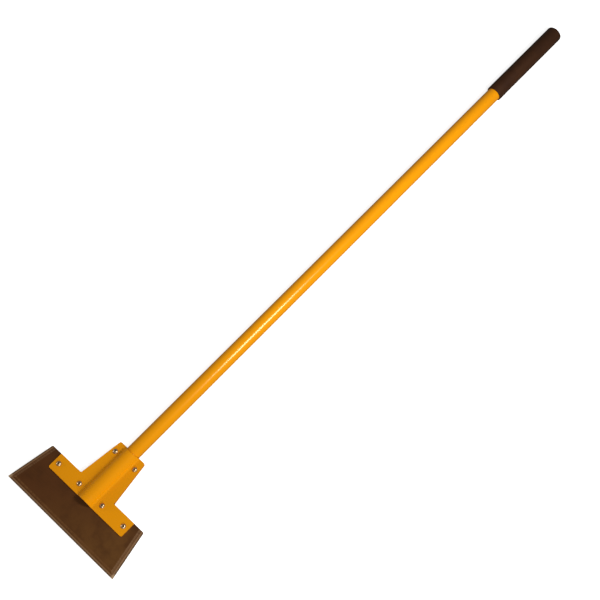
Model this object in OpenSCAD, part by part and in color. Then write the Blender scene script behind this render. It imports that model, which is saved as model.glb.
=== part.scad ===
// Long-handled floor scraper, in millimetres.
// The origin is the middle of the cutting edge. +Y runs up the handle to the grip, +X is to the right
// and +Z is the face that carries the screw heads. The tool lies on its back.

/* [Blade] */
// Length of the cutting edge
blade_w = 305; // [280:1:330]
// Length of the back edge
blade_back_w = 265; // [240:1:275]
// Depth of the blade, from the cutting edge to the back edge
blade_h = 104.5; // [95:0.5:120]
// Thickness of the blade
blade_t = 2.5; // [2:0.1:3.5]
// Width of the ground bevel along three sides
bevel_w = 11.5; // [8:0.5:16]
// Width of the honed strip at the very edge
hone_w = 4; // [1:0.1:5]

/* [Head plates] */
// Thickness of the pressed sheet
sheet_t = 2.5; // [2:0.1:3]
// Height of the plates, from the lower edge to the top
plate_h = 135; // [125:1:160]
// Length of the bar that backs the blade
bar_w = 212; // [205:1:235]
// Height of that bar
bar_h = 36.5; // [32:0.5:42]
// Width of the upright at its foot
neck_w = 96; // [90:1:110]
// Width of the upright at its top
top_w = 70; // [68:1:80]
// Radius of the bend between the flat sheet and the half-round channel
fillet_r = 5.6; // [4:0.1:5.6]
// How far the pressing draws the channel's upper end back
draw_back = 4; // [1:0.5:6]

/* [Handle] */
// Outside diameter of the tube
tube_d = 31.75; // [28:0.05:32]
// Wall of the tube
tube_wall = 1.65; // [1.2:0.05:3]
// Length of the whole tool
overall_l = 1591.5; // [900:0.5:1800]
// Length of the grip
grip_l = 230; // [120:1:300]
// Wall of the grip
grip_wall = 2.85; // [2:0.05:5]
// Radius round the rim of the grip's closed end
grip_end_r = 5; // [2:0.5:8]

/* [Fasteners] */
// Distance of the outer screws from the centre line
outer_x = 94; // [85:0.5:96]
// Distance of the inner screws from the centre line
inner_x = 33; // [30:0.5:45]
// Distance of the top screws from the centre line
top_x = 28; // [28:0.1:28.6]
// Distance of the top screws below the plates' top
top_drop = 22; // [14:0.5:40]
// Diameter of the screws
screw_d = 6.35; // [5:0.05:6.5]
// Diameter of the button heads
head_d = 11.1; // [10:0.1:11.7]
// Height of the button heads
head_h = 3.35; // [2.8:0.05:4]
// Width of the socket across its flats
socket_af = 3.97; // [3:0.01:4.5]
// Width of the nuts across their flats
nut_af = 11.1; // [9:0.1:11.2]
// Height of the nuts
nut_h = 5.6; // [4:0.1:8]
// Outside diameter of the lock washers
washer_d = 11.7; // [10:0.1:11.7]
// Thickness of the lock washers, pressed flat
washer_t = 1.6; // [1:0.1:2.5]

/* [Hidden] */
$fn = 96;
PLACES = ["top_left", "top_right", "inner_left", "inner_right", "outer_left", "outer_right"];

PAINT = [0.93, 0.58, 0.05];
SPRING_STEEL = [0.28, 0.18, 0.11];
SLEEVE = [0.16, 0.11, 0.08];
ZINC = [0.74, 0.74, 0.76];

cut = 50;              // how far the cutting tools reach past the work
sheet_in = blade_t / 2;             // distance of a plate's inner face from the middle plane
sheet_out = sheet_in + sheet_t;     // and of its outer face
plate_low = blade_h - bar_h;        // the plates' lower edge; the bar ends level with the blade's back
plate_top = plate_low + plate_h;

paint_gap = 0.05;                   // room for the paint between the tube and the channel
channel_in = tube_d / 2 + paint_gap;
channel_out = channel_in + sheet_t;
bend_x = sqrt(pow(channel_out + fillet_r, 2) - pow(sheet_out + fillet_r, 2));
bend_a = atan2(sheet_out + fillet_r, bend_x);

edge_z = 0.12;         // half the thickness left at the very edge
hone_z = 0.62;         // half the thickness where the honed strip starts
tip_r = 1.5;
back_r = 3;

corner_r = 4;
inside_r = 3;
end_r = 2;
hole_d = screw_d + 0.7;

tube_start = blade_h + 2;           // the tube stops just above the blade's back edge
grip_r = tube_d / 2 + grip_wall;
sleeve_gap = 0.02;
cap_t = 3.5;           // thickness of the grip's closed end
tube_end = overall_l - cap_t;
lip_r = 1;

head_land = 0.6;       // height of the button head's straight rim
head_flat = 2.35;      // radius of the flat on the button head
socket_depth = 2.1;
screw_end = 1.3;       // how far the screw stands out of its nut
thread_gap = 0.02;
nut_chamfer = 0.9;
split_w = 1.2;         // width of the lock washer's split
split_a = 25;          // its slant

bar_y = plate_low + bar_h / 2;
top_y = plate_top - top_drop;
SPOTS = [[-top_x, top_y], [top_x, top_y], [-inner_x, bar_y], [inner_x, bar_y], [-outer_x, bar_y], [outer_x, bar_y]];

function unit(v) = v / norm(v);
function turn(v) = atan2(v.y, v.x);
function shortest(a) = a > 180 ? a - 360 : a < -180 ? a + 360 : a;

// The arc that rounds corner b of the outline a-b-c, on either side of it
function round_corner(a, b, c, r, steps = 6) =
    let (
        u = unit(a - b),
        v = unit(c - b),
        half = acos(u * v) / 2,
        centre = b + unit(u + v) * r / sin(half),
        from = turn(b + u * r / tan(half) - centre),
        sweep = shortest(turn(b + v * r / tan(half) - centre) - from)
    )
    [for (i = [0:steps]) centre + r * [cos(from + sweep * i / steps), sin(from + sweep * i / steps)]];

function round_outline(points, radii) =
    let (n = len(points))
    [for (i = [0:n - 1]) each round_corner(points[(i + n - 1) % n], points[i], points[(i + 1) % n], radii[i])];

// ---- Blade: a trapezoid of spring steel, ground on three sides and on both faces

module blade_outline() {
    polygon(round_outline(
        [
            [-blade_w / 2, 0], [blade_w / 2, 0],
            [blade_back_w / 2, blade_h], [-blade_back_w / 2, blade_h]
        ],
        [tip_r, tip_r, back_r, back_r]
    ));
}

// What the grinder takes off the front along the edge from a to b, with the blade on its left
module grind(a, b) {
    slope = (hone_z - edge_z) / hone_w;
    translate([a.x, a.y, 0]) rotate([0, 0, turn(b - a)]) translate([-cut, 0, 0]) rotate([90, 0, 90])
        linear_extrude(norm(b - a) + 2 * cut)
            polygon([
                [-2, edge_z - 2 * slope], [0, edge_z], [hone_w, hone_z], [bevel_w, blade_t / 2],
                [bevel_w, blade_t], [-2, blade_t]
            ]);
}

module blade() {
    tip_l = [-blade_w / 2, 0];
    tip_r = [blade_w / 2, 0];
    back_l = [-blade_back_w / 2, blade_h];
    back_r = [blade_back_w / 2, blade_h];
    color(SPRING_STEEL) difference() {
        translate([0, 0, -blade_t / 2]) linear_extrude(blade_t) blade_outline();
        for (side = [0, 1]) mirror([0, 0, side]) {
            grind(tip_l, tip_r);
            grind(tip_r, back_r);
            grind(back_l, tip_l);
        }
        for (i = [2:5]) translate([SPOTS[i].x, SPOTS[i].y, -cut]) cylinder(d = hole_d, h = 2 * cut);
    }
}

// ---- Head plates: two like pressings, each with half of the socket for the tube

module plate_outline() {
    right = [
        [bar_w / 2, plate_low], [bar_w / 2, plate_low + bar_h],
        [neck_w / 2, plate_low + bar_h], [top_w / 2, plate_top]
    ];
    radii = [corner_r, end_r, inside_r, corner_r];
    polygon(round_outline(
        concat(right, [for (i = [3:-1:0]) [-right[i].x, right[i].y]]),
        concat(radii, [for (i = [3:-1:0]) radii[i]])
    ));
}

// Sheet bent round the origin between two radii, from angle a0 to angle a1
module bend(inner, outer, a0, a1) {
    reach = 2 * outer;
    intersection() {
        difference() {
            circle(outer);
            circle(inner);
        }
        polygon([
            [0, 0], reach * [cos(a0), sin(a0)], reach * [cos((a0 + a1) / 2), sin((a0 + a1) / 2)],
            reach * [cos(a1), sin(a1)]
        ]);
    }
}

module plate_section() {
    bend(channel_in, channel_out, bend_a, 180 - bend_a);
    for (side = [0, 1]) mirror([side, 0]) {
        translate([bend_x, sheet_out + fillet_r]) bend(fillet_r, fillet_r + sheet_t, 180 + bend_a, 270);
        translate([bend_x, sheet_in]) square([bar_w / 2 + 1 - bend_x, sheet_t]);
    }
}

module plate() {
    rise = channel_out - sheet_out;
    difference() {
        intersection() {
            translate([0, 0, -1]) linear_extrude(channel_out + 2) plate_outline();
            translate([0, plate_top + 1, 0]) rotate([90, 0, 0]) linear_extrude(plate_h + 2) plate_section();
        }
        // the upper end of the channel slants back from the line of the flat sheet
        translate([-cut / 2, plate_top, sheet_out]) rotate([atan(draw_back / rise), 0, 0]) cube([cut, cut, cut]);
        for (spot = SPOTS) translate([spot.x, spot.y, -cut]) cylinder(d = hole_d, h = 2 * cut);
    }
}

module front_plate() {
    color(PAINT) plate();
}

module rear_plate() {
    color(PAINT) mirror([0, 0, 1]) plate();
}

// ---- Handle: a painted tube that the plates clamp, with a closed sleeve at the top

module handle_tube() {
    color(PAINT) translate([0, tube_start, 0]) rotate([-90, 0, 0]) difference() {
        cylinder(d = tube_d, h = tube_end - tube_start);
        translate([0, 0, -1]) cylinder(d = tube_d - 2 * tube_wall, h = tube_end - tube_start + 2);
    }
}

module grip() {
    bore = tube_d / 2 + sleeve_gap;
    end_y = grip_l - grip_end_r;
    color(SLEEVE) translate([0, overall_l - grip_l, 0]) rotate([-90, 0, 0]) rotate_extrude() polygon(concat(
        [[bore, 0]],
        [for (a = [-90:30:0]) [grip_r - lip_r + lip_r * cos(a), lip_r + lip_r * sin(a)]],
        [for (a = [0:15:90]) [grip_r - grip_end_r + grip_end_r * cos(a), end_y + grip_end_r * sin(a)]],
        [[0, grip_l], [0, grip_l - cap_t + sleeve_gap], [bore, grip_l - cap_t + sleeve_gap]]
    ));
}

// ---- Fasteners: a button-head screw from the front, a split lock washer and a nut at the back

module screw(spot) {
    // the dome is part of a ball that passes through the rim's top and the flat's edge
    dome_z = (pow(head_flat, 2) + pow(head_h, 2) - pow(head_d / 2, 2) - pow(head_land, 2)) / (2 * (head_h - head_land));
    dome_r = norm([head_d / 2, head_land - dome_z]);
    shank = 2 * sheet_out + washer_t + nut_h + screw_end;
    color(ZINC) translate([spot.x, spot.y, sheet_out]) {
        difference() {
            intersection() {
                cylinder(d = head_d, h = head_h);
                translate([0, 0, dome_z]) sphere(dome_r);
            }
            translate([0, 0, head_h - socket_depth]) cylinder(d = socket_af / cos(30), h = head_h, $fn = 6);
        }
        translate([0, 0, -shank]) cylinder(d = screw_d, h = shank);
    }
}

module lock_washer(spot) {
    color(ZINC) translate([spot.x, spot.y, -sheet_out - washer_t]) difference() {
        cylinder(d = washer_d, h = washer_t);
        translate([0, 0, -1]) cylinder(d = screw_d + 0.3, h = washer_t + 2);
        translate([washer_d / 4, 0, washer_t / 2]) rotate([split_a, 0, 0]) cube([washer_d, split_w, 3 * washer_t], center = true);
    }
}

module nut(spot) {
    flat_r = nut_af / 2;
    corner = flat_r / cos(30);
    color(ZINC) translate([spot.x, spot.y, -sheet_out - washer_t - nut_h]) difference() {
        intersection() {
            cylinder(r = corner, h = nut_h, $fn = 6);
            rotate_extrude() polygon([
                [0, 0], [flat_r, 0], [flat_r + nut_chamfer * 1.8, nut_chamfer],
                [flat_r + nut_chamfer * 1.8, nut_h - nut_chamfer], [flat_r, nut_h], [0, nut_h]
            ]);
        }
        translate([0, 0, -1]) cylinder(d = screw_d + 2 * thread_gap, h = nut_h + 2);
    }
}

blade();
front_plate();
rear_plate();
handle_tube();
grip();
for (i = [0:5]) {
    screw(SPOTS[i]);
    lock_washer(SPOTS[i]);
    nut(SPOTS[i]);
}
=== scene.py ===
import math

import bmesh
import bpy
from mathutils import Matrix, Vector


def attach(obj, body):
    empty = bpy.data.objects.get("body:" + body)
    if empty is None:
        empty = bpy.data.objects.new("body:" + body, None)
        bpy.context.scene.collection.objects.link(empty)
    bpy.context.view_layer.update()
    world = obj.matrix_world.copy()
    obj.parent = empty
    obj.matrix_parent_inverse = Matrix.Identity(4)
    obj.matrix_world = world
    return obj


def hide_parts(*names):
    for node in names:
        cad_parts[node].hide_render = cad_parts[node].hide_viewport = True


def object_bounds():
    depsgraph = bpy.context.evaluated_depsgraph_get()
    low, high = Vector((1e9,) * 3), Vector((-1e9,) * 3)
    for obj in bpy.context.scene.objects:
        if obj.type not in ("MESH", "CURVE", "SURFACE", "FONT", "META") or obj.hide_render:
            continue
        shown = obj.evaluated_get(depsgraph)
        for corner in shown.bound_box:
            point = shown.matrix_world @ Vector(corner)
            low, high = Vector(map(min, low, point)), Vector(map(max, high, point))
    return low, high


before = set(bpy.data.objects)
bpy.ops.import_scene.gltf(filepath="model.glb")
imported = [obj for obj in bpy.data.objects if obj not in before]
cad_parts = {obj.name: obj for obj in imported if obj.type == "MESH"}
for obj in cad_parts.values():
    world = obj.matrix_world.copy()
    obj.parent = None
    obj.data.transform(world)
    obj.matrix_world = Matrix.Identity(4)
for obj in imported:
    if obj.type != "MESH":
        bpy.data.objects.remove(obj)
cad_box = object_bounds()

# ---- Camera ----
# A moderate telephoto looks down on the tool from beyond its cutting edge, on the right-hand side.
# The tool runs from the lower left of the frame to the upper right.
camera_place = Vector((0.7261, -0.0275, 2.2671))
camera_target = Vector((0.0207, 0.6790, 0.0))
frame_top = Vector((-0.61506, 0.67794, 0.40261))
lens_mm, sensor_mm = 69.6, 36.0

camera = bpy.data.objects.new("camera", bpy.data.cameras.new("camera"))
camera.data.lens = lens_mm
camera.data.sensor_width = sensor_mm
camera.data.clip_end = 20
camera_back = (camera_place - camera_target).normalized()
camera_right = frame_top.cross(camera_back).normalized()
camera_up = camera_back.cross(camera_right)
camera_axes = Matrix((camera_right, camera_up, camera_back)).transposed().to_4x4()
camera.matrix_world = Matrix.Translation(camera_place) @ camera_axes
bpy.context.collection.objects.link(camera)
bpy.context.scene.camera = camera

# ---- Floor and light ----
# A matt white sheet lies under the tool, lit from below like a light table so that shadows stay faint. Two
# softboxes stand on the right, one beside the handle and a small one low in front of the head. A little lamp
# on the left picks out the screw heads, and an even surround fills the shadows. Sizes are in metres.
floor_width = 8.0
floor_colour = (0.9, 0.9, 0.9, 1)
floor_glow = 0.78
floor_y = 0.7
surround = (0.187, 0.190, 0.178, 1)
lamps = {
    # place, target, width and height, power in watts
    "handle_softbox": ((0.88, 0.86, 1.10), (0.0, 1.40, 0.0), (0.46, 0.50), 20.0),
    "head_softbox": ((0.84, -0.42, 0.52), (0.0, 0.12, 0.0), (0.35, 0.35), 3.4),
    "left_lamp": ((-1.05, -0.45, 0.28), (0.0, 0.10, 0.0), (0.18, 0.16), 2.6),
}


class Wire:
    """A node's output that Python's operators can work on. Each operation adds its Math node."""

    def __init__(self, finish, socket):
        self.finish, self.socket = finish, socket

    def __add__(self, other):
        return self.finish.sum("ADD", self, other)

    def __sub__(self, other):
        return self.finish.sum("SUBTRACT", self, other)

    def __rsub__(self, other):
        return self.finish.sum("SUBTRACT", other, self)

    def __mul__(self, other):
        return self.finish.sum("MULTIPLY", self, other)

    def __truediv__(self, other):
        return self.finish.sum("DIVIDE", self, other)

    def __abs__(self):
        return self.finish.sum("ABSOLUTE", self, 0)

    def least(self, other):
        return self.finish.sum("MINIMUM", self, other)

    def most(self, other):
        return self.finish.sum("MAXIMUM", self, other)

    def ramp(self, zero_at, one_at):
        """0 before one value and 1 after the other, with a soft step between."""
        ends = {"Value": self, "From Min": zero_at, "From Max": one_at}
        return self.finish.node("MapRange", {"interpolation_type": "SMOOTHSTEP"}, ends)

    __radd__, __rmul__ = __add__, __mul__


class Finish:
    """A material, with its nodes written as expressions."""

    def __init__(self, name):
        self.material = bpy.data.materials.new(name)
        self.material.use_nodes = True
        self.tree = self.material.node_tree
        self.shader = self.tree.nodes["Principled BSDF"]
        self.place = self.node("TexCoord", out="Object")

    def plug(self, sockets, values):
        for name, value in values.items():
            if isinstance(value, Wire):
                self.tree.links.new(value.socket, sockets[name])
            else:
                sockets[name].default_value = value

    def node(self, kind, settings=None, values=None, out=0):
        made = self.tree.nodes.new("ShaderNode" + kind)
        for name, value in (settings or {}).items():
            setattr(made, name, value)
        self.plug(made.inputs, values or {})
        return Wire(self, made.outputs[out])

    def sum(self, operation, a, b):
        return self.node("Math", {"operation": operation}, {0: a, 1: b})

    def mix(self, mask, without, covered):
        return self.node("Mix", {"data_type": "RGBA"}, {0: mask, 6: without, 7: covered}, 2)

    def split(self, vector):
        return [self.node("SeparateXYZ", None, {0: vector}, axis) for axis in range(3)]

    def stretch(self, vector, factors):
        return self.node("VectorMath", {"operation": "MULTIPLY"}, {0: vector, 1: factors})

    def noise(self, vector, scale, detail=2.0, roughness=0.5):
        grain = {"Vector": vector, "Scale": scale, "Detail": detail, "Roughness": roughness}
        return self.node("TexNoise", None, grain)

    def bump(self, height, depth, strength=1.0):
        return self.node("Bump", None, {"Height": height, "Distance": depth, "Strength": strength})

    def shade(self, **values):
        self.plug(self.shader.inputs, {name.replace("_", " "): value for name, value in values.items()})


paper = Finish("matt_paper")
paper_grain = paper.noise(paper.place, 900.0)
paper.shade(Base_Color=floor_colour, Roughness=paper_grain * 0.1 + 0.75)
paper.shade(Specular_IOR_Level=0.1, Emission_Color=(1, 1, 1, 1), Emission_Strength=floor_glow)

sheet = bmesh.new()
bmesh.ops.create_grid(sheet, x_segments=1, y_segments=1, size=floor_width / 2)
bmesh.ops.translate(sheet, verts=sheet.verts, vec=(0, floor_y, cad_box[0].z))
floor_mesh = bpy.data.meshes.new("floor")
sheet.to_mesh(floor_mesh)
sheet.free()
floor_mesh.materials.append(paper.material)
floor = bpy.data.objects.new("floor", floor_mesh)
# left out of bounce and gloss rays, in which its glow would wash out the tool's shaded sides
floor.visible_diffuse = floor.visible_glossy = False
bpy.context.collection.objects.link(floor)

for name, (place, target, size, power) in lamps.items():
    lamp = bpy.data.objects.new(name, bpy.data.lights.new(name, "AREA"))
    lamp.data.shape = "RECTANGLE"
    lamp.data.size, lamp.data.size_y = size
    lamp.data.energy = power
    beam = (Vector(target) - Vector(place)).to_track_quat("-Z", "Y").to_matrix().to_4x4()
    lamp.matrix_world = Matrix.Translation(place) @ beam
    bpy.context.collection.objects.link(lamp)

world = bpy.data.worlds.new("surround")
world.use_nodes = True
world.node_tree.nodes["Background"].inputs["Color"].default_value = surround
bpy.context.scene.world = world
bpy.context.scene.view_settings.view_transform = "Standard"

# ---- Blade ----
# A trapezoid of spring steel, left in its brown temper scale. Both faces are ground along three sides,
# and a bright strip is honed at the very edge. Four holes take the head's lower screws. Sizes are in mm.
blade_w, blade_back_w, blade_h, blade_t = 305.0, 265.0, 104.5, 2.5
bevel_w, hone_w, hone_z, edge_z = 11.5, 4.0, 0.62, 0.12
tip_r, back_r = 1.5, 3.0
bar_y, outer_x, inner_x = 86.25, 94.0, 33.0
hole_r, hole_steps = 3.525, 40
corner_steps = 8
blade_rim, rim_steps = 0.3, 2
on_plane = 1e-5
# where the finish changes, and where a glint is painted at the tips: first in mm in from the ground outline
# and then in metres along Y or out along X
hone_fade, honed_rim_w = (1.2, 0.7), (3.7, 2.7)
shoulder_in, shoulder_half = 6.9, 1.7
back_dark, tip_glint_x, tip_glint_y = (0.084, 0.100), (0.144, 0.149), (0.011, 0.006)
temper_brown = (0.100, 0.0340, 0.0085, 1)
temper_olive_and_sheen = (0.142, 0.0585, 0.0138, 1)
temper_dark = (0.072, 0.0250, 0.0070, 1)
temper_red = (0.125, 0.0420, 0.0110, 1)
ground_front = (0.165, 0.0680, 0.0210, 1)
# the two side bevels are one ground finish, with painted shade on the left and painted light on the right
ground_shaded_left = (0.165, 0.0790, 0.0340, 1)
ground_lit_right = (0.212, 0.1090, 0.0510, 1)
honed_grey = (0.200, 0.1080, 0.0520, 1)
honed_light = (0.380, 0.2000, 0.0980, 1)
painted_tip_glint = (0.560, 0.3700, 0.2200, 1)


def round_corner(shape, corner, radius, segments):
    """Rounds one corner of a flat outline."""
    a, b = [edge.other_vert(corner).co - corner.co for edge in corner.link_edges]
    bmesh.ops.bevel(
        shape, geom=[corner], offset=radius / math.tan(a.angle(b) / 2), segments=segments,
        profile=0.5, affect="VERTICES", material=-1
    )


def cut_blank(corners, radii, holes, thickness, rim):
    """A flat blank: rounded outline, punched holes, thickness about z = 0, and rims eased by tumbling."""
    blank = bmesh.new()
    points = [blank.verts.new((x, y, -thickness / 2)) for x, y in corners]
    blank.faces.new(points)
    for point, radius in zip(points, radii):
        round_corner(blank, point, radius, corner_steps)
    bmesh.ops.delete(blank, geom=blank.faces[:], context="FACES_ONLY")
    for x, y in holes:
        bmesh.ops.create_circle(
            blank, segments=hole_steps, radius=hole_r, matrix=Matrix.Translation((x, y, -thickness / 2))
        )
    bmesh.ops.triangle_fill(blank, use_beauty=True, edges=blank.edges[:])
    top = bmesh.ops.extrude_face_region(blank, geom=blank.faces[:])["geom"]
    top = [item for item in top if isinstance(item, bmesh.types.BMVert)]
    bmesh.ops.translate(blank, verts=top, vec=(0, 0, thickness))
    bmesh.ops.recalc_face_normals(blank, faces=blank.faces[:])
    rims = [
        edge for edge in blank.edges
        if edge.calc_face_angle(0) > 1 and abs(edge.verts[0].co.z - edge.verts[1].co.z) < rim
    ]
    bmesh.ops.bevel(
        blank, geom=rims, offset=rim, segments=rim_steps, profile=0.5, affect="EDGES", material=-1
    )
    return blank


def grind(blank, foot, along, inset_a, height_a, inset_b, height_b, face):
    """Grinds one flat on one face: it passes through two heights at two distances in from an edge."""
    inward = Vector((0, 0, 1)).cross(along)
    slope = inward * (inset_b - inset_a) + Vector((0, 0, face * (height_b - height_a)))
    outward = along.cross(slope) * face
    cut = bmesh.ops.bisect_plane(
        blank, geom=blank.verts[:] + blank.edges[:] + blank.faces[:], dist=on_plane,
        plane_co=foot + inward * inset_a + Vector((0, 0, face * height_a)), plane_no=outward, clear_outer=True
    )["geom_cut"]
    bmesh.ops.holes_fill(blank, edges=[item for item in cut if isinstance(item, bmesh.types.BMEdge)])


def fit_piece(name, shape, finish, node, crease=20.0):
    """Makes a finished piece of a shape in mm, and puts it in the place of its CAD node."""
    bmesh.ops.recalc_face_normals(shape, faces=shape.faces[:])
    bmesh.ops.scale(shape, verts=shape.verts, vec=(0.001, 0.001, 0.001))
    mesh = bpy.data.meshes.new(name)
    shape.to_mesh(mesh)
    shape.free()
    mesh.shade_smooth()
    mesh.set_sharp_from_angle(angle=math.radians(crease))
    mesh.materials.append(finish.material)
    piece = bpy.data.objects.new(name, mesh)
    bpy.context.collection.objects.link(piece)
    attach(piece, "root")
    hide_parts(node)


blade = cut_blank(
    [(-blade_w / 2, 0), (blade_w / 2, 0), (blade_back_w / 2, blade_h), (-blade_back_w / 2, blade_h)],
    [tip_r, tip_r, back_r, back_r],
    [(x, bar_y) for x in (-outer_x, -inner_x, inner_x, outer_x)],
    blade_t, blade_rim,
)
tips = [Vector((side * blade_w / 2, 0, 0)) for side in (-1, 1)]
backs = [Vector((side * blade_back_w / 2, blade_h, 0)) for side in (-1, 1)]
for start, end in ((tips[0], tips[1]), (tips[1], backs[1]), (backs[0], tips[0])):
    for face in (-1, 1):
        along = (end - start).normalized()
        grind(blade, start, along, hone_w, hone_z, bevel_w, blade_t / 2, face)
        grind(blade, start, along, 0, edge_z, hone_w, hone_z, face)

steel = Finish("tempered_spring_steel")
x, y, _ = steel.split(steel.place)
slant = (blade_w - blade_back_w) / 2
side_run = math.hypot(blade_h, slant)
side_in = (0.001 * blade_w / 2 - abs(x)) * (blade_h / side_run) - y * (slant / side_run)
inset = side_in.least(y) * 1000
on_side = (y - side_in).ramp(-0.0004, 0.0004)
wobble = steel.noise(steel.place, 60.0) - 0.5
cloud = steel.noise(steel.place, 22.0, 4.0, 0.6)
rolled = steel.noise(steel.stretch(steel.place, (8, 420, 60)), 1.0, 3.0, 0.6)
scale_spots = steel.noise(steel.place, 520.0, 3.0, 0.6)
grind_lines = steel.mix(
    on_side,
    steel.noise(steel.stretch(steel.place, (700, 50, 50)), 1.0, 4.0, 0.65),
    steel.noise(steel.stretch(steel.place, (50, 700, 50)), 1.0, 4.0, 0.65),
)
grind_lines = steel.split(grind_lines)[0]
ground = (inset + wobble * 0.5).ramp(bevel_w + 0.2, bevel_w - 0.2)
worn_inset = inset + wobble * 0.4
honed = worn_inset.ramp(hone_w + hone_fade[0], hone_w + hone_fade[1])
honed_rim = worn_inset.ramp(*honed_rim_w)
shoulder = (1 - abs(worn_inset - shoulder_in) / shoulder_half).ramp(0, 0.6)
# a painted highlight along the mitre where the side and front grinds meet
painted_mitre_highlight = (1 - abs(y - side_in) / 0.0009).ramp(0, 0.7) * ground
# the temper takes a real olive tint towards the lower right, and is painted lighter there as sheen
temper_and_sheen_drift = (x - y * 1.2).ramp(-0.15, 0.10)
face_colour = steel.mix(temper_and_sheen_drift, temper_brown, temper_olive_and_sheen)
face_colour = steel.mix(cloud.ramp(0.6, 0.25) * 0.8, face_colour, temper_dark)
face_colour = steel.mix(y.ramp(*back_dark) * 0.5, face_colour, temper_dark)
face_colour = steel.mix(rolled.ramp(0.5, 0.75) * 0.35, face_colour, temper_red)
face_colour = steel.mix(scale_spots.ramp(0.62, 0.74) * 0.45, face_colour, temper_dark)
# painted light and shade: the right side's bevel lighter than the left's
lit_and_shaded_sides = steel.mix(x.ramp(-0.05, 0.05), ground_shaded_left, ground_lit_right)
ground_colour = steel.mix(on_side, ground_front, lit_and_shaded_sides)
ground_colour = steel.mix(grind_lines.ramp(0.58, 0.35) * 0.8, ground_colour, face_colour)
ground_colour = steel.mix(shoulder * (0.9 - on_side * 0.5), ground_colour, face_colour)
ground_colour = steel.mix(painted_mitre_highlight * 0.7, ground_colour, honed_light)
honed_colour = steel.mix(honed_rim, honed_light, honed_grey)
honed_colour = steel.mix(grind_lines.ramp(0.4, 0.7) * 0.45, honed_colour, honed_grey)
# a painted glint at the two tips of the honed edge
honed_colour = steel.mix(abs(x).ramp(*tip_glint_x) * y.ramp(*tip_glint_y), honed_colour, painted_tip_glint)
steel.shade(
    Base_Color=steel.mix(honed, steel.mix(ground, face_colour, ground_colour), honed_colour),
    Metallic=honed * 0.4,
    Roughness=0.44 + cloud * 0.12 - ground * 0.06 - honed * 0.04 + grind_lines * ground * 0.1,
    Normal=steel.bump(scale_spots * 0.4 + rolled * 0.3 + grind_lines * ground * 0.8, 0.00003),
    Specular_IOR_Level=0.14,
)
fit_piece("ground_blade", blade, steel, "blade", crease=1.0)

# ---- Head plates ----
# Two like pressings of mild steel sheet clamp the blade and the tube between them. The press folds a
# half-round channel up the middle of each flat blank. Then they are painted, a little thin at sheared rims.
sheet_t, sheet_in = 2.5, 1.25
plate_low, bar_w, bar_h = 68.0, 212.0, 36.5
plate_top, neck_w, top_w = 203.0, 96.0, 70.0
corner_r, end_r, inside_r = 4.0, 2.0, 3.0
top_x, top_y = 28.0, 181.0
channel_in, fillet_r = 15.925, 5.6
# the channel's upper end slants back, in creases at these distances below the plate's top
draw_back, draw_bend, draw_drops = 4.0, 1.5, (3, 6, 9, 12, 16, 20, 24)
plate_rim = 0.45
fold_steps = 36
enamel_colour = (0.960, 0.3560, 0.0010, 1)
enamel_deep = (0.860, 0.3050, 0.0010, 1)
enamel_thin = (0.600, 0.1900, 0.0040, 1)
enamel_gleam = (1.0, 0.80, 0.50, 1)
bare_steel = (0.085, 0.0600, 0.0450, 1)

bar_top = plate_low + bar_h
sheet_mid = sheet_in + sheet_t / 2
sheet_out = sheet_in + sheet_t
channel_mid = channel_in + sheet_t / 2
channel_out = channel_in + sheet_t
fold_r = fillet_r + sheet_t / 2
fold_z = sheet_out + fillet_r
fold_x = math.sqrt((channel_out + fillet_r) ** 2 - fold_z ** 2)
fold_a = math.atan2(fold_z, fold_x)
crown_run = channel_mid * (math.pi / 2 - fold_a)
fold_run = crown_run + fold_r * (math.pi / 2 - fold_a)
spread = fold_run - fold_x


def press(point):
    """Where the press puts a point of the flat blank."""
    side, run, height = math.copysign(1, point.x), abs(point.x), point.z
    if run < crown_run:
        angle = math.pi / 2 - run / channel_mid
        radius = channel_mid + height
        across, up = radius * math.cos(angle), radius * math.sin(angle)
    elif run < fold_run:
        angle = math.pi + fold_a + (run - crown_run) / fold_r
        radius = fold_r - height
        across, up = fold_x + radius * math.cos(angle), fold_z + radius * math.sin(angle)
    else:
        across, up = run - spread, sheet_mid + height
    near_top = min(max(1 - (plate_top - point.y) / draw_drops[-1], 0), 1)
    drawn = draw_back * max(up - sheet_out, 0) / (channel_out - sheet_out)
    return side * across, point.y - drawn * near_top**draw_bend, up


def press_plate(face):
    """One pressing, for the front (1) or the rear (-1)."""
    right = [(bar_w / 2, plate_low), (bar_w / 2, bar_top), (neck_w / 2, bar_top), (top_w / 2, plate_top)]
    right = [(x + spread, y) for x, y in right]
    radii = [corner_r, end_r, inside_r, corner_r]
    spots = [(x + spread, y) for x, y in ((top_x, top_y), (inner_x, bar_y), (outer_x, bar_y))]
    plate = cut_blank(
        right + [(-x, y) for x, y in reversed(right)], radii + radii[::-1],
        spots + [(-x, y) for x, y in spots], sheet_t, plate_rim,
    )
    bends = range(-fold_steps, fold_steps + 1)
    creases = [((bend * fold_run / fold_steps, 0, 0), (1, 0, 0)) for bend in bends]
    creases += [((0, plate_top - drop, 0), (0, 1, 0)) for drop in draw_drops]
    for place, normal in creases:
        bmesh.ops.bisect_plane(
            plate, geom=plate.verts[:] + plate.edges[:] + plate.faces[:], dist=on_plane,
            plane_co=place, plane_no=normal,
        )
    flat = plate.loops.layers.uv.new("flat")
    for polygon in plate.faces:
        for loop in polygon.loops:
            loop[flat].uv = (loop.vert.co.x / 1000, loop.vert.co.y / 1000)
    for vert in plate.verts:
        vert.co = press(vert.co)
    bmesh.ops.scale(plate, verts=plate.verts, vec=(1, 1, face))
    return plate


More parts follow.
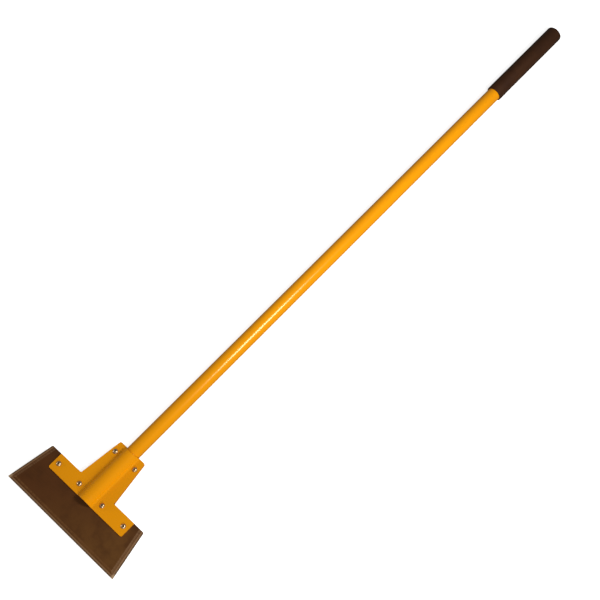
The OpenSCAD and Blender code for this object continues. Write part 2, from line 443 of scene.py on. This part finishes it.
def enamel(name, rim, rubbed, flow_depth, gloss_loss):
    """Glossy oven-dried enamel. rim(paint) is the distance in mm to an edge and rubbed(paint) the worn
    lines; flow_depth is how much the surface ripples and gloss_loss how rough it is where unworn."""
    paint = Finish(name)
    rim_mm, rub = rim(paint), rubbed(paint)
    cloud = paint.noise(paint.place, 7.0, 3.0)
    flow = paint.noise(paint.place, 210.0, 1.0)
    fine = paint.noise(paint.place, 900.0, 2.0)
    ragged = paint.noise(paint.place, 330.0, 3.0, 0.7)
    thin = rim_mm.ramp(0.9, 0.1) * 0.5
    chipped = (ragged - rim_mm * 0.32).ramp(0.60, 0.64)
    specks = fine.ramp(0.74, 0.80) * 0.25
    colour = paint.mix(cloud.ramp(0.3, 0.75) * 0.35, enamel_colour, enamel_deep)
    colour = paint.mix(rub * 0.16, colour, enamel_deep)
    colour = paint.mix(thin + specks, colour, enamel_thin)
    paint.shade(
        Base_Color=paint.mix(chipped, colour, bare_steel),
        Roughness=gloss_loss + cloud * 0.05 + fine * 0.03 + rub * 0.15 + chipped * 0.3,
        Normal=paint.bump(flow * flow_depth + fine * 0.05 - chipped * 1.6 - rub * 0.1, 0.00006, 0.5),
        Specular_IOR_Level=0.5,
        Specular_Tint=enamel_gleam,
    )
    return paint


def plate_rims(paint):
    """Distance in mm to the pressed plate's outline or its holes, whichever is nearer."""
    run, y, _ = paint.split(paint.node("UVMap", {"uv_map": "flat"}))
    run, y = abs(run) * 1000, y * 1000
    lean = math.atan2((neck_w - top_w) / 2, plate_top - bar_top)
    slanted = (neck_w / 2 + spread - run) * math.cos(lean) - (y - bar_top) * math.sin(lean)
    bar = (bar_top - y).least(bar_w / 2 + spread - run)
    rim = bar.most(slanted.least(plate_top - y)).least(y - plate_low)
    for x, spot_y in ((top_x, top_y), (inner_x, bar_y), (outer_x, bar_y)):
        offset = paint.node("CombineXYZ", None, {0: run - (x + spread), 1: y - spot_y})
        rim = rim.least(paint.node("VectorMath", {"operation": "LENGTH"}, {0: offset}, "Value") - hole_r)
    return rim


def plate_rubs(paint):
    """Faint rub marks, mostly across the blade."""
    lines = paint.noise(paint.stretch(paint.place, (26, 150, 26)), 1.0, 3.0, 0.6)
    patch = paint.noise(paint.place, 18.0)
    return lines.ramp(0.56, 0.66) * patch.ramp(0.45, 0.62)


plate_enamel = enamel("plate_enamel", plate_rims, plate_rubs, 0.8, 0.13)
for name, face in (("front", 1), ("rear", -1)):
    fit_piece(name + "_pressing", press_plate(face), plate_enamel, name + "_plate")

# ---- Handle tube ----
# A welded steel tube, painted over its whole length. The plates grip its lower end.
# The sleeve covers its upper end.
tube_r, tube_bore = 15.875, 14.225
tube_start, tube_end = 106.5, 1588.0
tube_rim = 0.35
turning_steps, rounding_steps = 96, 6
weld = 1e-4


def turn(profile, roundings, steps):
    """A body turned about Y from a profile of (radius, height) points with rounded corners."""
    lathe = bmesh.new()
    points = [lathe.verts.new((radius, height, 0)) for radius, height in profile]
    lathe.faces.new(points)
    for point, rounding in zip(points, roundings):
        if rounding:
            round_corner(lathe, point, rounding, rounding_steps)
    bmesh.ops.delete(lathe, geom=lathe.faces[:], context="FACES_ONLY")
    on_axis = [edge for edge in lathe.edges if all(vert.co.x < 1e-6 for vert in edge.verts)]
    bmesh.ops.delete(lathe, geom=on_axis, context="EDGES")
    bmesh.ops.spin(
        lathe, geom=lathe.verts[:] + lathe.edges[:], cent=(0, 0, 0), axis=(0, 1, 0), dvec=(0, 0, 0),
        angle=math.tau, steps=steps, use_merge=True
    )
    bmesh.ops.remove_doubles(lathe, verts=lathe.verts[:], dist=weld)
    return lathe


def tube_rims(paint):
    """Distance in mm to the tube's lower end, which the plates hide."""
    _, y, _ = paint.split(paint.place)
    return (y - tube_start / 1000) * 1000


def tube_rubs(paint):
    """Long faint marks where hands and the rack rub the tube."""
    lines = paint.noise(paint.stretch(paint.place, (330, 3, 330)), 1.0, 2.0)
    patch = paint.noise(paint.stretch(paint.place, (8, 2.6, 8)), 1.0)
    return lines.ramp(0.58, 0.70) * patch.ramp(0.46, 0.62)


tube = turn(
    [(tube_bore, tube_start), (tube_r, tube_start), (tube_r, tube_end), (tube_bore, tube_end)],
    [tube_rim] * 4, turning_steps,
)
tube_enamel = enamel("tube_enamel", tube_rims, tube_rubs, 0.1, 0.15)
fit_piece("painted_tube", tube, tube_enamel, "handle_tube")

# ---- Grip ----
# A closed sleeve of soft brown vinyl, dip-moulded and pushed over the end of the tube. It has a rounded
# end, an eased lip and a fine matt grain.
grip_start, grip_end, grip_r = 1361.5, 1591.5, 18.725
grip_bore, cap_t = 15.895, 3.48
lip_r, grip_end_r = 1.0, 5.0
vinyl_colour = (0.047, 0.0155, 0.0040, 1)
vinyl_worn = (0.072, 0.0265, 0.0080, 1)
vinyl_deep = (0.034, 0.0108, 0.0028, 1)

sleeve = turn(
    [
        (grip_bore, grip_start), (grip_r, grip_start), (grip_r, grip_end),
        (0, grip_end), (0, grip_end - cap_t), (grip_bore, grip_end - cap_t),
    ],
    [0, lip_r, grip_end_r, 0, 0, 0], turning_steps,
)
vinyl = Finish("brown_vinyl")
pebble_cells = {"Vector": vinyl.place, "Scale": 950.0, "Smoothness": 0.6}
pebble = vinyl.node("TexVoronoi", {"feature": "SMOOTH_F1"}, pebble_cells)
cloud = vinyl.noise(vinyl.place, 30.0, 4.0, 0.6)
drag = vinyl.noise(vinyl.stretch(vinyl.place, (160, 12, 160)), 1.0, 2.0)
handled = vinyl.noise(vinyl.place, 12.0, 2.0).ramp(0.45, 0.7)
colour = vinyl.mix(cloud.ramp(0.3, 0.7), vinyl_deep, vinyl_colour)
colour = vinyl.mix(drag.ramp(0.55, 0.75) * 0.3 + handled * 0.15, colour, vinyl_worn)
vinyl.shade(
    Base_Color=colour,
    Roughness=0.58 - handled * 0.10 + pebble * 0.12,
    Normal=vinyl.bump(pebble + drag * 0.4, 0.00025, 0.8),
    Specular_IOR_Level=0.2,
)
fit_piece("vinyl_sleeve", sleeve, vinyl, "grip")

# ---- Screws, lock washers and nuts ----
# Six quarter-inch button-head socket screws go in from the front. At the back each has a split spring
# washer and a hexagon nut. All are steel, zinc plated with a thin straw-coloured passivate, and painted
# shade darkens the sockets.
head_r, head_h, head_land, head_flat = 5.55, 3.35, 0.6, 2.35
socket_half, socket_depth, socket_point = 1.985, 2.1, 0.45
shank_r, shank_end, shank_plain = 3.175, 16.0, 5.0
thread_core, thread_pitch, thread_depth = 2.62, 1.27, 0.55
thread_sink, thread_end, thread_width, thread_steps = 0.05, 0.3, 0.9, 24
dome_steps, socket_chamfer, shank_cone = 10, 0.3, 0.5
point_ease, brim_ease, land_ease = 0.45, 0.12, 0.2
near, hair = 0.1, 0.01
nut_half, nut_h, nut_land, nut_slope = 5.55, 5.6, 0.25, 0.5556
nut_bore, nut_sink = 3.195, 0.55
washer_r, washer_bore, washer_t, washer_rise, washer_ease = 5.85, 3.325, 1.5, 0.1, 0.15
split_w, split_slant = 1.2, math.radians(25)
washer_top = -sheet_out
nut_top = washer_top - washer_t - washer_rise
fastener_steps = 48
zinc_bright = (0.680, 0.5000, 0.3200, 1)
zinc_grey = (0.380, 0.2700, 0.1800, 1)
zinc_straw = (0.620, 0.4200, 0.2000, 1)
socket_shade_colour = (0.060, 0.0400, 0.0280, 1)
spots = {
    "top_left": (-top_x, top_y, 12), "top_right": (top_x, top_y, 47),
    "inner_left": (-inner_x, bar_y, 31), "inner_right": (inner_x, bar_y, 4),
    "outer_left": (-outer_x, bar_y, 53), "outer_right": (outer_x, bar_y, 26),
}


def hexagon(half, vert):
    """Distance from the axis to a hexagon's side, in the direction of a point."""
    angle = math.atan2(vert.co.y, vert.co.x) % (math.pi / 3)
    return half / math.cos(angle - math.pi / 6)


def stand_up(shape):
    """Turns a body's axis from Y to Z."""
    bmesh.ops.rotate(shape, verts=shape.verts, matrix=Matrix.Rotation(math.pi / 2, 3, "X"))
    return shape


def button_screw():
    """The head's dome is part of a ball. Its socket is broached six-sided under a shallow countersink."""
    dome_z = (head_flat**2 + head_h**2 - head_r**2 - head_land**2) / (2 * (head_h - head_land))
    dome_r = math.hypot(head_r, head_land - dome_z)
    low, high = math.atan2(head_land - dome_z, head_r), math.atan2(head_h - dome_z, head_flat)
    angles = [low + (high - low) * step / dome_steps for step in range(dome_steps + 1)]
    dome = [(dome_r * math.cos(angle), dome_z + dome_r * math.sin(angle)) for angle in angles]
    socket_floor = head_h - socket_depth
    profile = [
        (0, -shank_end), (thread_core, -shank_end), (thread_core, -shank_plain),
        (shank_r, -shank_plain + shank_cone), (shank_r, 0), (head_r, 0), *dome,
        (socket_half, head_h - socket_chamfer), (socket_half, socket_floor), (0, socket_floor - socket_point),
    ]
    roundings = [0, point_ease, 0, 0, 0, brim_ease, land_ease, *[0] * (dome_steps - 1), brim_ease, 0, 0, 0]
    screw = stand_up(turn(profile, roundings, fastener_steps))
    for vert in screw.verts:
        radius = vert.co.xy.length
        if vert.co.z > socket_floor - near and near < radius < socket_half + hair:
            side = hexagon(socket_half, vert)
            if vert.co.z > socket_floor + near:
                vert.co.z = head_h - (head_flat - side)
            vert.co.xy *= side / radius
    turns = int((shank_end - shank_plain - 2 * thread_end) / thread_pitch)
    foot, width = thread_core - thread_sink, thread_pitch * thread_width
    section = [(foot, 0), (thread_core + thread_depth, width / 2), (foot, width)]
    ridge = [screw.verts.new((radius, 0, rise + thread_end - shank_end)) for radius, rise in section]
    start = screw.faces.new(ridge)
    bmesh.ops.spin(
        screw, geom=[start], cent=(0, 0, 0), axis=(0, 0, 1), dvec=(0, 0, thread_pitch / thread_steps),
        angle=turns * math.tau, steps=turns * thread_steps
    )
    bmesh.ops.translate(screw, verts=screw.verts, vec=(0, 0, sheet_out))
    return screw


def split_washer():
    """A spring washer: a ring cut through on a slant, almost flattened by the nut."""
    ring = bmesh.new()
    section = [(washer_bore, 0), (washer_r, 0), (washer_r, washer_t), (washer_bore, washer_t)]
    points = [ring.verts.new((radius, 0, height)) for radius, height in section]
    ring.faces.new(points)
    for point in points:
        round_corner(ring, point, washer_ease, 3)
    sweep = math.tau - split_w / ((washer_r + washer_bore) / 2)
    bmesh.ops.spin(
        ring, geom=ring.faces[:], cent=(0, 0, 0), axis=(0, 0, 1), dvec=(0, 0, washer_rise / fastener_steps),
        angle=sweep, steps=fastener_steps
    )
    for vert in ring.verts:
        angle = math.atan2(vert.co.y, vert.co.x) % math.tau
        slant = (vert.co.z - washer_t / 2) * math.tan(split_slant) / vert.co.xy.length
        vert.co = Matrix.Rotation(slant, 3, "Z") @ vert.co
    bmesh.ops.translate(ring, verts=ring.verts, vec=(0, 0, nut_top))
    return ring


def hex_nut():
    """A six-sided nut whose corners are turned off in a chamfer, with a countersunk thread."""
    lower = [(nut_bore, nut_sink), (nut_bore + nut_sink, 0), (nut_half - nut_land, 0), (nut_half, nut_land)]
    profile = lower + [(radius, nut_h - height) for radius, height in reversed(lower)]
    nut = stand_up(turn(profile, [0] * 8, fastener_steps))
    for vert in nut.verts:
        radius = vert.co.xy.length
        if radius > nut_half - hair:
            side = hexagon(nut_half, vert)
            fall = (side - nut_half + nut_land) * nut_slope
            vert.co.z = fall if vert.co.z < nut_h / 2 else nut_h - fall
            vert.co.xy *= side / radius
    bmesh.ops.translate(nut, verts=nut.verts, vec=(0, 0, nut_top - nut_h))
    return nut


zinc = Finish("zinc_plate")
ring_mm = zinc.node("Attribute", {"attribute_name": "turned"}, None, "Fac")
turning = zinc.node("TexNoise", {"noise_dimensions": "1D"}, {"W": ring_mm, "Scale": 9.0, "Detail": 2.0})
cloud = zinc.noise(zinc.place, 240.0, 3.0)
pits = zinc.noise(zinc.place, 1500.0, 2.0)
colour = zinc.mix(cloud.ramp(0.4, 0.7), zinc_bright, zinc_straw)
colour = zinc.mix(pits.ramp(0.6, 0.75) * 0.5, colour, zinc_grey)
_, _, z = zinc.split(zinc.place)
# painted shade darkens the socket's recess
socket_painted_shade = ring_mm.ramp(socket_half + 0.45, socket_half + 0.1) * z.ramp(0, 0.001)
zinc.shade(
    Base_Color=zinc.mix(socket_painted_shade * 0.75, colour, socket_shade_colour),
    Metallic=1 - socket_painted_shade * 0.5,
    Roughness=0.26 + cloud * 0.10 + turning * 0.10 + socket_painted_shade * 0.3,
    Normal=zinc.bump(turning * 0.5 + pits * 0.3, 0.00002),
)
fasteners = [
    ("button_screw_", "screw_", button_screw),
    ("split_washer_", "lock_washer_", split_washer),
    ("hex_nut_", "nut_", hex_nut),
]
for place, (x, y, lay) in spots.items():
    for name, node, make in fasteners:
        part = make()
        turned = part.verts.layers.float.new("turned")
        for vert in part.verts:
            vert[turned] = vert.co.xy.length
        bmesh.ops.rotate(part, verts=part.verts, matrix=Matrix.Rotation(math.radians(lay), 3, "Z"))
        bmesh.ops.translate(part, verts=part.verts, vec=(x, y, 0))
        fit_piece(name + place, part, zinc, node + place, crease=28.0)

bpy.context.view_layer.update()
